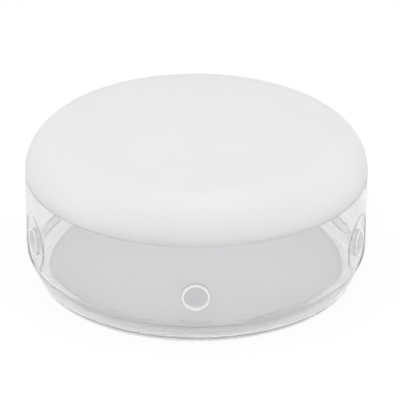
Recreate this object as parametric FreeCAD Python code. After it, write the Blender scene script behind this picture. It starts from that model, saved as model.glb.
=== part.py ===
import FreeCAD
import Part
import math
import os

# A round wet palette: a shallow clear tray with a sponge and a paper disc, a clear upright wall with five
# dished ports, and a frosted lid. Millimetres, +Z up, origin on the table under the middle of the palette.
# The first port faces -Y.

# Outline of the palette
body_radius = 60.0  # outside of the upright wall
side_lean = 4.5  # from the upright wall in to the tray's side at the table
wall = 1.6  # moulded wall of the tray, the upright wall and the lid
heel_rise = 3.0  # from the tray's rim up to where the lean meets the upright wall
heel_round = 9.0  # bend between the lean and the upright wall
lid_skirt = 0.6  # straight edge of the lid under its shoulder
shoulder_radius = 14.4  # round shoulder of the lid
edge_round = 0.1  # outside edges at the two seams

# Tray
floor_thickness = 1.8
well_depth = 5.6  # from the floor up to the rim
floor_round = 2.0  # inside corner of the floor
foot_round = 0.8  # outside corner at the table
foot_width = 4.7  # ring that the tray stands on
foot_recess = 0.5  # hollow under the floor inside that ring

# Half-lap seats, of the wall in the tray and of the lid on the wall
lap_depth = 2.0
lap_gap = 0.25

# Sponge and paper
sponge_thickness = 1.8
sponge_margin = 1.2  # from the flat of the floor in to the sponge's edge
sponge_round = 0.4
paper_thickness = 0.2
paper_margin = 2.0  # from the sponge's edge in to the paper's edge

# Ports
port_count = 5
dish_depth = 1.05  # below the outside of the wall, on the port's axis
dish_flat = 6.5  # radius of the flat in the middle of the dish
dish_bend = 5.4  # radius of the hollow bend beside that flat
dish_slope = 26.0  # degrees, where that bend turns over into the lip
lip_slope = 5.0  # degrees, where the lip meets the wall above the port
dish_spread = 1.3  # width of the dish over its height
dish_blend = 2.5  # bend where the dish and its back run into the wall
dish_gap = 1.1  # clear wall from the tray's rim to the lip of the dish
wall_above = 8.5  # clear wall from the lip of the dish to the lid
port_wall = 1.5  # thickness behind the dish
bush_bore = 8.2
bush_wall = 0.7
bush_fit = 0.05  # all round the bush in its seat
bush_round = 0.2

# Places that follow from those sizes
rim_height = floor_thickness + well_depth
heel_height = rim_height + heel_rise
steep, shallow = math.radians(dish_slope), math.radians(lip_slope)
lip_bend = (dish_depth - dish_bend * (1 - math.cos(steep))) / (math.cos(shallow) - math.cos(steep))
dish_lip = dish_flat + dish_bend * math.sin(steep) + lip_bend * (math.sin(steep) - math.sin(shallow))
port_height = rim_height + dish_gap + dish_lip
lid_height = port_height + dish_lip + wall_above
shoulder_height = lid_height + lid_skirt
top_height = shoulder_height + shoulder_radius
inner_radius = body_radius - wall
base_radius = body_radius - side_lean
lean = math.atan2(side_lean, heel_height)
lean_wall = wall / math.cos(lean)
inner_heel_height = heel_height + (lean_wall - wall) / math.tan(lean)
lip_thickness = (wall - lap_gap) / 2
port_face = body_radius - dish_depth - port_wall
bush_radius = bush_bore / 2 + bush_wall
seat_radius = bush_radius + bush_fit

ORIGIN = FreeCAD.Vector(0, 0, 0)
UP = FreeCAD.Vector(0, 0, 1)
OUT = FreeCAD.Vector(1, 0, 0)
FIRST_PORT_ANGLE = -90.0
ROUND_SHARE = 0.48  # of the shorter run beside a corner, the most that its bend may take
TOUCHING = 0.001  # farthest that a point of a dish's edge may be from the wall's own side
EDGE_POINTS = 5  # points looked at along such an edge


def leaning_radius(height):
    """Outside radius of the leaning side at a height."""
    return base_radius + height * math.tan(lean)


def outline_point(corner):
    """A corner's radius and height as a point in the XZ plane."""
    return FreeCAD.Vector(corner[0], 0, corner[1])


def rounded_edges(corners):
    """Edges of a closed outline of (radius, height, bend) corners. The runs beside a bend limit it."""
    ends = []
    for index, corner in enumerate(corners):
        point = outline_point(corner)
        before = outline_point(corners[index - 1]) - point
        after = outline_point(corners[(index + 1) % len(corners)]) - point
        if corner[2] == 0:
            ends.append((point, None, point))
            continue
        half_angle = before.getAngle(after) / 2
        longest = ROUND_SHARE * min(before.Length, after.Length)
        run = min(corner[2] / math.tan(half_angle), longest)
        bend = run * math.tan(half_angle)
        middle = FreeCAD.Vector(before).normalize() + FreeCAD.Vector(after).normalize()
        inward = bend / math.sin(half_angle) - bend
        ends.append((
            point + FreeCAD.Vector(before).normalize() * run,
            point + middle.normalize() * inward,
            point + FreeCAD.Vector(after).normalize() * run,
        ))
    edges = []
    for index, (start, through, finish) in enumerate(ends):
        if through is not None:
            edges.append(Part.Arc(start, through, finish).toShape())
        edges.append(Part.LineSegment(finish, ends[(index + 1) % len(ends)][0]).toShape())
    return edges


def turned(edges):
    """A solid turned about the palette's axis from a closed outline."""
    return Part.Face(Part.Wire(edges)).revolve(ORIGIN, UP, 360)


def arc_about(centre, radius, start, finish):
    """An arc in the XZ plane, between two angles in degrees above the horizontal."""
    points = []
    for angle in (start, (start + finish) / 2, finish):
        turn = math.radians(angle)
        across, up = radius * math.cos(turn), radius * math.sin(turn)
        points.append(outline_point((centre[0] + across, centre[1] + up)))
    return Part.Arc(*points).toShape()


def floor_flat_radius():
    """Where the flat of the tray's floor ends and its inside corner starts to bend up."""
    corner = leaning_radius(floor_thickness) - lean_wall
    return corner - floor_round * math.tan((math.pi / 2 - lean) / 2)


def make_base_tray():
    """Shallow tray on a foot ring, with the outer half of a lap around its rim."""
    lap_floor = rim_height - lap_depth - lap_gap
    return turned(rounded_edges([
        (0, foot_recess, 0),
        (base_radius - foot_width, foot_recess, 0),
        (base_radius - foot_width, 0, 0),
        (base_radius, 0, foot_round),
        (leaning_radius(rim_height), rim_height, edge_round),
        (leaning_radius(rim_height) - lip_thickness, rim_height, 0),
        (leaning_radius(lap_floor) - lip_thickness, lap_floor, 0),
        (leaning_radius(lap_floor) - lean_wall, lap_floor, 0),
        (leaning_radius(floor_thickness) - lean_wall, floor_thickness, floor_round),
        (0, floor_thickness, 0),
    ]))


def make_wall_ring():
    """Upright ring with a leaning heel, a tongue down into the tray and a tongue up into the lid."""
    tongue_foot = rim_height - lap_depth
    tongue_step = lip_thickness + lap_gap
    return turned(rounded_edges([
        (leaning_radius(tongue_foot) - lean_wall, tongue_foot, 0),
        (leaning_radius(tongue_foot) - tongue_step, tongue_foot, 0),
        (leaning_radius(rim_height) - tongue_step, rim_height, 0),
        (leaning_radius(rim_height), rim_height, edge_round),
        (body_radius, heel_height, heel_round),
        (body_radius, lid_height, edge_round),
        (body_radius - tongue_step, lid_height, 0),
        (body_radius - tongue_step, lid_height + lap_depth, 0),
        (inner_radius, lid_height + lap_depth, 0),
        (inner_radius, inner_heel_height, heel_round - wall),
    ]))


def at_port(shape, index):
    """A shape made about the X axis, carried to a port."""
    placed = shape.copy()
    placed.translate(UP * port_height)
    placed.rotate(ORIGIN, UP, FIRST_PORT_ANGLE + 360.0 * index / port_count)
    return placed


def turned_about_port(edges):
    """A solid turned about the X axis from an outline of distances from it and from the palette's axis."""
    solid = turned(edges)
    solid.rotate(ORIGIN, FreeCAD.Vector(0, 1, 0), 90)
    return solid


def make_dish(inset):
    """A round hollow about a port's axis: a flat, a hollow bend and a lip, all moved in by a thickness."""
    floor = body_radius - dish_depth - inset
    reach = body_radius + wall
    hollow_centre = (dish_flat, body_radius - dish_depth + dish_bend)
    lip_centre = (dish_lip + lip_bend * math.sin(shallow), body_radius - lip_bend * math.cos(shallow))
    hollow = arc_about(hollow_centre, dish_bend + inset, -90, dish_slope - 90)
    lip = arc_about(lip_centre, lip_bend - inset, 90 + dish_slope, 90 + lip_slope)
    edge = lip.valueAt(lip.LastParameter)
    beyond = FreeCAD.Vector(edge.x + (reach - edge.z) / math.tan(shallow), 0, reach)
    middle = [outline_point((0, reach)), outline_point((0, floor)), outline_point((dish_flat, floor))]
    corners = [edge, beyond] + middle
    runs = [Part.LineSegment(a, b).toShape() for a, b in zip(corners, corners[1:])]
    spread = FreeCAD.Matrix()
    spread.scale(1, dish_spread, 1)
    return turned_about_port([hollow, lip] + runs).transformGeometry(spread)


def make_wall_core():
    """All that is inside the middle of the wall."""
    middle = body_radius - wall / 2
    return turned(rounded_edges([
        (0, rim_height, 0),
        (leaning_radius(rim_height) - lean_wall / 2, rim_height, 0),
        (middle, heel_height, heel_round),
        (middle, lid_height, 0),
        (0, lid_height, 0),
    ]))


def is_dish_edge(edge, side):
    """Whether an edge is a free curve on the turned ring's side, where a dish or its back runs into it."""
    if edge.Curve.TypeId != "Part::GeomBSplineCurve":
        return False
    points = edge.discretize(EDGE_POINTS)
    return all(side.distToShape(Part.Vertex(point))[0] < TOUCHING for point in points)


def make_clear_wall():
    """Wall ring with dished ports, thickened behind each dish and blended into it, and seats for bushes."""
    ports = range(port_count)
    dish = make_dish(0)
    back = make_dish(port_wall)
    seat = Part.makeCylinder(seat_radius, body_radius, OUT * (body_radius / 2), OUT)
    core = make_wall_core()
    ring = make_wall_ring()
    pads = [at_port(back, index).common(core) for index in ports]
    dished = ring.fuse(pads).cut([at_port(dish, index) for index in ports]).removeSplitter()
    sharp = [edge for edge in dished.Edges if is_dish_edge(edge, ring.Shells[0])]
    return dished.makeFillet(dish_blend, sharp).cut([at_port(seat, index) for index in ports])


def make_port_bush():
    """Short tube through a port, flush with the outside of the wall and with the back of the port."""
    bore_radius = bush_bore / 2
    return turned_about_port(rounded_edges([
        (bore_radius, port_face, bush_round),
        (bush_radius, port_face, bush_round),
        (bush_radius, body_radius, bush_round),
        (bore_radius, body_radius, bush_round),
    ]))


def make_frosted_lid():
    """Flat-topped shell with a round shoulder, whose edge laps over the tongue of the wall."""
    centre = (body_radius - shoulder_radius, shoulder_height)
    inner_round = shoulder_radius - wall
    lap_top = lid_height + lap_depth + lap_gap
    lap_angle = math.degrees(math.asin((lap_top - shoulder_height) / inner_round))
    outer = arc_about(centre, shoulder_radius, 90, 0)
    inner = arc_about(centre, inner_round, lap_angle, 90)
    outer_start, outer_end = outer.valueAt(outer.FirstParameter), outer.valueAt(outer.LastParameter)
    inner_start, inner_end = inner.valueAt(inner.FirstParameter), inner.valueAt(inner.LastParameter)
    lip = body_radius - lip_thickness
    edge = arc_about((body_radius - edge_round, lid_height + edge_round), edge_round, 0, -90)
    skirt = [outer_end, edge.valueAt(edge.FirstParameter)]
    corners = [
        edge.valueAt(edge.LastParameter),
        outline_point((lip, lid_height)),
        outline_point((lip, lap_top)),
        inner_start,
    ]
    top = [
        inner_end,
        outline_point((0, top_height - wall)),
        outline_point((0, top_height)),
        outer_start,
    ]
    edges = [outer, edge, inner]
    for run in (skirt, corners, top):
        edges += [Part.LineSegment(a, b).toShape() for a, b in zip(run, run[1:])]
    return turned(Part.__sortEdges__(edges))


def make_sponge():
    """Thin sponge disc that lies on the floor of the tray."""
    radius = floor_flat_radius() - sponge_margin
    top = floor_thickness + sponge_thickness
    return turned(rounded_edges([
        (0, floor_thickness, 0),
        (radius, floor_thickness, 0),
        (radius, top, sponge_round),
        (0, top, 0),
    ]))


def make_palette_paper():
    """Paper disc that lies on the sponge."""
    radius = floor_flat_radius() - sponge_margin - paper_margin
    return Part.makeCylinder(radius, paper_thickness, UP * (floor_thickness + sponge_thickness))


def main():
    pieces = {
        "base_tray": make_base_tray(),
        "sponge": make_sponge(),
        "palette_paper": make_palette_paper(),
        "clear_wall": make_clear_wall(),
        "frosted_lid": make_frosted_lid(),
    }
    bush = make_port_bush()
    for index in range(port_count):
        pieces[f"port_bush_{index + 1}"] = at_port(bush, index)
    os.makedirs("parts", exist_ok=True)
    for name, shape in pieces.items():
        solid = shape.Solids[0]
        print(f"{name}: {len(shape.Solids)} solid, valid {solid.isValid()}, volume {solid.Volume:.1f} mm3")
        solid.exportStep(f"parts/{name}.step")


main()
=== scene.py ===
import math

import bpy
from mathutils import Matrix, Vector


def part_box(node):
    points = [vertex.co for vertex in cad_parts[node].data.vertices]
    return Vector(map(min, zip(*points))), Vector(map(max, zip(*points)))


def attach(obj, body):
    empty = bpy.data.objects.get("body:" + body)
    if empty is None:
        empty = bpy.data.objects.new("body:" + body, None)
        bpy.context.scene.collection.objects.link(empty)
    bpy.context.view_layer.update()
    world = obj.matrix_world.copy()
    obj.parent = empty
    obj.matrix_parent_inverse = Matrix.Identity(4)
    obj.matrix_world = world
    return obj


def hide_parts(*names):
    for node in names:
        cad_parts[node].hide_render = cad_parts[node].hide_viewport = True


# A round wet palette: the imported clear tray, clear wall, bushes and frosted lid get their plastics, and the
# sponge and the paper are modelled here. Metres.

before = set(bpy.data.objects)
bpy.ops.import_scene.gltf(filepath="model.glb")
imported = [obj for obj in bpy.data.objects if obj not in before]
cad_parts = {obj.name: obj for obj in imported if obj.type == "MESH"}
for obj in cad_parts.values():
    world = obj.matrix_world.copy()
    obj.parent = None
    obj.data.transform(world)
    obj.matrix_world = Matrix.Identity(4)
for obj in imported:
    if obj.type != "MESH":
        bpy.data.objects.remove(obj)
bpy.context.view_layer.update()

# Camera, fitted to the photograph's 400 x 400 frame
AIM = Vector((0, 0, 0.0265))  # middle of the palette
CAMERA_DISTANCE = 1.2
CAMERA_PITCH = math.radians(26.3)
CAMERA_ROLL = math.radians(0.25)
CAMERA_LENS = 306.8
CAMERA_SENSOR = 36
CAMERA_SHIFT = 0.0092
CAMERA_NEAR, CAMERA_FAR = 0.05, 20

# Sponge
DISC_STEPS = 180  # around the sponge and the paper
SPONGE_AIR = 0.00006  # under the sponge, which touches the tray only at its high points
SPONGE_RIM_SHARE = 0.25  # of the sponge's depth, rounded off at its rim
SPONGE_RIM_STEPS = 4
SPONGE_VOXEL = 0.0005
SPONGE_SMOOTHING = 4
PORE_WIDTH = 0.0016
PORE_DEPTH = 0.0001

# Paper
PAPER_THICKNESS = 0.00012
PAPER_RINGS = 18
PAPER_CREASE = math.radians(40)  # a sharper edge stays sharp
COCKLE_COUNT = 7
COCKLE_STRAY = 0.2  # share of their spacing
COCKLE_STRAY_STEP = 3  # radians from one cockle to the next
COCKLE_LIFT = 0.00016  # of the highest cockle
COCKLE_MEAN, COCKLE_SWING = 0.6, 0.4  # shares of that lift
COCKLE_SWING_STEP = 5  # radians from one cockle to the next
RADIUS_PER_COCKLE = 3  # the paper's radius over the reach of a cockle

# Materials
NOISE_LOW, NOISE_HIGH = 0.3, 0.7  # nearly all of a noise lies between these
MATT = 0.9  # roughness of the sponge and the table
CLEAR_COLOUR = (0.986, 0.985, 0.991, 1)
CLEAR_SHARE = 0.84  # of the light that goes through unclouded, the rest is haze
CLEAR_IOR = 1.49

# Table, and the share of it that is plain white as the camera sees it, in gloss and through the clear plastic
FLOOR_SIZE = 8
FLOOR_COLOUR = (0.93, 0.93, 0.93, 1)
FLOOR_SEEN = 0.93
FLOOR_MIRRORED = 0.93
FLOOR_THROUGH = 0.55

# Light: the place, width and height of each soft box, and its power in watts
WORLD_COLOUR = (1, 1, 1, 1)
WORLD_STRENGTH = 0.745
SOFTBOXES = {
    "overhead": ((0, -0.06, 0.6), (0.45, 0.45), 1.3),
    "left": ((-0.72, -0.1, 0.27), (0.4, 0.4), 0.95),
    "right": ((0.72, -0.1, 0.27), (0.4, 0.4), 0.9),
    "front": ((-0.1, -0.75, 0.1), (0.75, 0.12), 0.3),
}
CLEAR_BOUNCES = 256  # light runs far inside the clear wall before it comes out
DIFFUSE_BOUNCES = 24


def new_material(name):
    """A material with only a Principled shader and its output, and the node tree to add to."""
    material = bpy.data.materials.new(name)
    material.use_nodes = True
    tree = material.node_tree
    return material, tree, tree.nodes["Principled BSDF"]


def noise(tree, scale, detail=2):
    """A noise texture on the piece's own place, in features per metre."""
    place = tree.nodes.new("ShaderNodeTexCoord")
    texture = tree.nodes.new("ShaderNodeTexNoise")
    texture.inputs["Scale"].default_value = scale
    texture.inputs["Detail"].default_value = detail
    tree.links.new(place.outputs["Object"], texture.inputs["Vector"])
    return texture.outputs["Fac"]


def spread(tree, source, low, high):
    """The noise's middle spread over a range."""
    node = tree.nodes.new("ShaderNodeMapRange")
    node.inputs["From Min"].default_value = NOISE_LOW
    node.inputs["From Max"].default_value = NOISE_HIGH
    node.inputs["To Min"].default_value = low
    node.inputs["To Max"].default_value = high
    tree.links.new(source, node.inputs["Value"])
    return node.outputs["Result"]


def tint(tree, source, low, high):
    """A colour between two, by the noise."""
    ramp = tree.nodes.new("ShaderNodeValToRGB")
    stops = zip(ramp.color_ramp.elements, (NOISE_LOW, NOISE_HIGH), (low, high))
    for stop, position, colour in stops:
        stop.position = position
        stop.color = (*colour, 1)
    tree.links.new(source, ramp.inputs["Fac"])
    return ramp.outputs["Color"]


def relief(tree, shader, source, height):
    """A bump of that height in metres on the shader's normal."""
    bump = tree.nodes.new("ShaderNodeBump")
    bump.inputs["Distance"].default_value = height
    tree.links.new(source, bump.inputs["Height"])
    tree.links.new(bump.outputs["Normal"], shader.inputs["Normal"])


def mix_in(tree, shader, other):
    """Mixes a second shader's output into the material, and returns the socket for its share."""
    mix = tree.nodes.new("ShaderNodeMixShader")
    tree.links.new(shader.outputs["BSDF"], mix.inputs[1])
    tree.links.new(other, mix.inputs[2])
    tree.links.new(mix.outputs["Shader"], tree.nodes["Material Output"].inputs["Surface"])
    return mix.inputs["Fac"]


def lets_light_through(tree, shader, colour, share):
    """Mixes in light that comes through from behind, as in a damp sponge or a thin frosted wall."""
    glow = tree.nodes.new("ShaderNodeBsdfTranslucent")
    tree.links.new(colour, glow.inputs["Color"])
    mix_in(tree, shader, glow.outputs["BSDF"]).default_value = share


def maths(tree, operation, *values):
    """A sum on sockets and plain numbers, held between 0 and 1."""
    node = tree.nodes.new("ShaderNodeMath")
    node.operation = operation
    node.use_clamp = True
    for socket, value in zip(node.inputs, values):
        if isinstance(value, bpy.types.NodeSocket):
            tree.links.new(value, socket)
        else:
            socket.default_value = value
    return node.outputs["Value"]


def clear_plastic():
    """Clear moulded plastic with some haze and faint smears."""
    material, tree, shader = new_material("clear_plastic")
    shader.inputs["Base Color"].default_value = CLEAR_COLOUR
    shader.inputs["Transmission Weight"].default_value = CLEAR_SHARE
    shader.inputs["IOR"].default_value = CLEAR_IOR
    smears = spread(tree, noise(tree, scale=90), low=0, high=0.04)
    tree.links.new(smears, shader.inputs["Roughness"])
    return material


def milky_plastic():
    """Whitish plastic of the bushes."""
    material, tree, shader = new_material("milky_plastic")
    colour = tint(tree, noise(tree, scale=300), low=(0.9, 0.9, 0.905), high=(0.93, 0.93, 0.935))
    tree.links.new(colour, shader.inputs["Base Color"])
    gloss = spread(tree, noise(tree, scale=400), low=0.2, high=0.3)
    tree.links.new(gloss, shader.inputs["Roughness"])
    lets_light_through(tree, shader, colour, share=0.1)
    return material


def frosted_plastic():
    """Frosted lid, with a fine grain, that passes as much light as it sends back."""
    material, tree, shader = new_material("frosted_plastic")
    cloud = noise(tree, scale=35, detail=4)
    colour = tint(tree, cloud, low=(0.878, 0.878, 0.884), high=(0.888, 0.888, 0.894))
    tree.links.new(colour, shader.inputs["Base Color"])
    frost = spread(tree, noise(tree, scale=60), low=0.5, high=0.6)
    tree.links.new(frost, shader.inputs["Roughness"])
    relief(tree, shader, noise(tree, scale=5000), height=0.00002)
    through = tint(tree, cloud, low=(0.98, 0.98, 0.985), high=(0.99, 0.99, 0.995))
    lets_light_through(tree, shader, through, share=0.5)
    return material


def pale_sponge():
    """Damp white sponge, finely grained between its pores."""
    material, tree, shader = new_material("pale_sponge")
    grain = noise(tree, scale=700, detail=4)
    colour = tint(tree, grain, low=(0.965, 0.965, 0.96), high=(0.99, 0.99, 0.985))
    tree.links.new(colour, shader.inputs["Base Color"])
    shader.inputs["Roughness"].default_value = MATT
    relief(tree, shader, noise(tree, scale=4000, detail=4), height=0.00003)
    lets_light_through(tree, shader, colour, share=0.15)
    return material


def palette_sheet():
    """Pale paper with a fine fibre."""
    material, tree, shader = new_material("palette_sheet")
    fibre = noise(tree, scale=250, detail=6)
    colour = tint(tree, fibre, low=(0.937, 0.935, 0.944), high=(0.957, 0.955, 0.964))
    tree.links.new(colour, shader.inputs["Base Color"])
    damp = spread(tree, noise(tree, scale=120), low=0.55, high=0.75)
    tree.links.new(damp, shader.inputs["Roughness"])
    relief(tree, shader, noise(tree, scale=2500, detail=6), height=0.00003)
    return material


def white_floor():
    """Pale table that shows as white, with a faint shadow, to the camera and in part in the clear plastic."""
    material, tree, shader = new_material("white_floor")
    shader.inputs["Base Color"].default_value = FLOOR_COLOUR
    shader.inputs["Roughness"].default_value = MATT
    rays = tree.nodes.new("ShaderNodeLightPath").outputs
    mirrored = maths(tree, "SUBTRACT", rays["Is Glossy Ray"], rays["Is Transmission Ray"])
    white_share = maths(tree, "MULTIPLY", rays["Is Camera Ray"], FLOOR_SEEN)
    white_share = maths(tree, "MULTIPLY_ADD", mirrored, FLOOR_MIRRORED, white_share)
    white_share = maths(tree, "MULTIPLY_ADD", rays["Is Transmission Ray"], FLOOR_THROUGH, white_share)
    white = tree.nodes.new("ShaderNodeEmission")
    tree.links.new(white_share, mix_in(tree, shader, white.outputs["Emission"]))
    return material


def start_piece(name, add, **settings):
    """A primitive at its size and place, with nothing else selected and its place in its mesh."""
    bpy.ops.object.select_all(action="DESELECT")
    add(**settings)
    piece = bpy.context.object
    piece.name = name
    bpy.ops.object.transform_apply(location=True, rotation=True, scale=True)
    return piece


def finish_with(piece, kind, **settings):
    """Adds a modifier and applies it."""
    modifier = piece.modifiers.new(kind.lower(), kind)
    for setting, value in settings.items():
        setattr(modifier, setting, value)
    bpy.ops.object.modifier_apply(modifier=modifier.name)


def select_nearest(piece, place):
    """In edit mode, selects only the vertex nearest to a place."""
    bpy.ops.mesh.select_all(action="DESELECT")
    bpy.ops.object.mode_set(mode="OBJECT")
    nearest = min(piece.data.vertices, key=lambda vertex: (vertex.co - Vector(place)).length)
    nearest.select = True
    bpy.ops.object.mode_set(mode="EDIT")


def make_sponge():
    """Sponge disc with a soft rim and open pores, just clear of the tray's floor."""
    low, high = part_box("sponge")
    radius = (high.x - low.x) / 2
    depth = high.z - low.z - SPONGE_AIR
    sponge = start_piece(
        "sponge_pad", bpy.ops.mesh.primitive_cylinder_add,
        vertices=DISC_STEPS, radius=radius, depth=depth, location=(0, 0, high.z - depth / 2),
    )
    finish_with(
        sponge, "BEVEL",
        width=depth * SPONGE_RIM_SHARE, segments=SPONGE_RIM_STEPS, limit_method="ANGLE",
    )
    finish_with(sponge, "REMESH", mode="VOXEL", voxel_size=SPONGE_VOXEL)
    finish_with(sponge, "SMOOTH", iterations=SPONGE_SMOOTHING)
    pores = bpy.data.textures.new("sponge_pores", "VORONOI")
    pores.noise_scale = PORE_WIDTH
    finish_with(
        sponge, "DISPLACE",
        texture=pores, texture_coords="LOCAL", mid_level=1, strength=PORE_DEPTH,
    )
    bpy.ops.object.shade_smooth()
    sponge.data.materials.append(pale_sponge())
    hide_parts("sponge")
    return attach(sponge, "base")


def make_paper(sponge):
    """Paper disc laid on the sponge, a little cockled by damp along its edge."""
    low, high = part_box("palette_paper")
    radius = (high.x - low.x) / 2
    paper = start_piece(
        "palette_sheet", bpy.ops.mesh.primitive_circle_add,
        vertices=DISC_STEPS, radius=radius, location=(0, 0, low.z),
    )
    bpy.ops.object.mode_set(mode="EDIT")
    bpy.ops.mesh.select_all(action="SELECT")
    for ring in range(PAPER_RINGS, 1, -1):
        bpy.ops.mesh.extrude_edges_move()
        share = (ring - 1) / ring
        bpy.ops.transform.resize(value=(share, share, 1))
    bpy.ops.mesh.edge_face_add()
    for cockle in range(COCKLE_COUNT):
        stray = COCKLE_STRAY * math.sin(COCKLE_STRAY_STEP * cockle)
        turn = math.tau * (cockle + stray) / COCKLE_COUNT
        select_nearest(paper, (radius * math.cos(turn), radius * math.sin(turn), low.z))
        lift = COCKLE_LIFT * (COCKLE_MEAN + COCKLE_SWING * math.cos(COCKLE_SWING_STEP * cockle))
        bpy.ops.transform.translate(
            value=(0, 0, lift), use_proportional_edit=True,
            proportional_edit_falloff="SMOOTH", proportional_size=radius / RADIUS_PER_COCKLE,
        )
    bpy.ops.mesh.select_all(action="SELECT")
    bpy.ops.mesh.normals_make_consistent(inside=False)
    bpy.ops.object.mode_set(mode="OBJECT")
    finish_with(paper, "SOLIDIFY", thickness=PAPER_THICKNESS, offset=1)
    bpy.ops.object.shade_smooth_by_angle(angle=PAPER_CREASE)
    paper.data.materials.append(palette_sheet())
    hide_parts("palette_paper")
    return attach(paper, "base")


def give(name, material):
    """Puts one material on a CAD node."""
    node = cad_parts[name]
    node.data.materials.clear()
    node.data.materials.append(material)


def dress_moulded_parts():
    """Clear tray and wall, milky bushes and a frosted lid."""
    clear = clear_plastic()
    for part in ("base_tray", "clear_wall"):
        give(part, clear)
    milky = milky_plastic()
    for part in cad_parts:
        if part.startswith("port_bush"):
            give(part, milky)
    give("frosted_lid", frosted_plastic())


def make_stage():
    """Pale table in an evenly lit room."""
    floor = start_piece("floor", bpy.ops.mesh.primitive_plane_add, size=FLOOR_SIZE)
    floor.data.materials.append(white_floor())
    world = bpy.data.worlds.new("studio")
    world.use_nodes = True
    room = world.node_tree.nodes["Background"]
    room.inputs["Color"].default_value = WORLD_COLOUR
    room.inputs["Strength"].default_value = WORLD_STRENGTH
    bpy.context.scene.world = world


def make_softbox(name, place, size, power):
    """Flat rectangular lamp that faces the palette."""
    lamp = bpy.data.lights.new(name, "AREA")
    lamp.shape = "RECTANGLE"
    lamp.size, lamp.size_y = size
    lamp.energy = power
    softbox = bpy.data.objects.new(name, lamp)
    bpy.context.scene.collection.objects.link(softbox)
    softbox.location = place
    softbox.rotation_euler = (AIM - Vector(place)).to_track_quat("-Z", "Y").to_euler()


def make_camera():
    """Camera in front of the first port, looking down at the palette."""
    lens = bpy.data.cameras.new("camera")
    lens.sensor_width = CAMERA_SENSOR
    lens.lens = CAMERA_LENS
    lens.shift_x = CAMERA_SHIFT
    lens.clip_start, lens.clip_end = CAMERA_NEAR, CAMERA_FAR
    camera = bpy.data.objects.new("camera", lens)
    bpy.context.scene.collection.objects.link(camera)
    back = Vector((0, -math.cos(CAMERA_PITCH), math.sin(CAMERA_PITCH)))
    place = AIM + back * CAMERA_DISTANCE
    turn = (-back).to_track_quat("-Z", "Y").to_matrix().to_4x4()
    camera.matrix_world = Matrix.Translation(place) @ turn @ Matrix.Rotation(CAMERA_ROLL, 4, "Z")
    bpy.context.scene.camera = camera


dress_moulded_parts()
make_paper(make_sponge())

make_stage()
for name, (place, size, power) in SOFTBOXES.items():
    make_softbox(name, place, size, power)
make_camera()
scene = bpy.context.scene
scene.view_settings.view_transform = "Standard"
scene.cycles.max_bounces = CLEAR_BOUNCES
scene.cycles.diffuse_bounces = DIFFUSE_BOUNCES
scene.cycles.glossy_bounces = CLEAR_BOUNCES
scene.cycles.transmission_bounces = CLEAR_BOUNCES
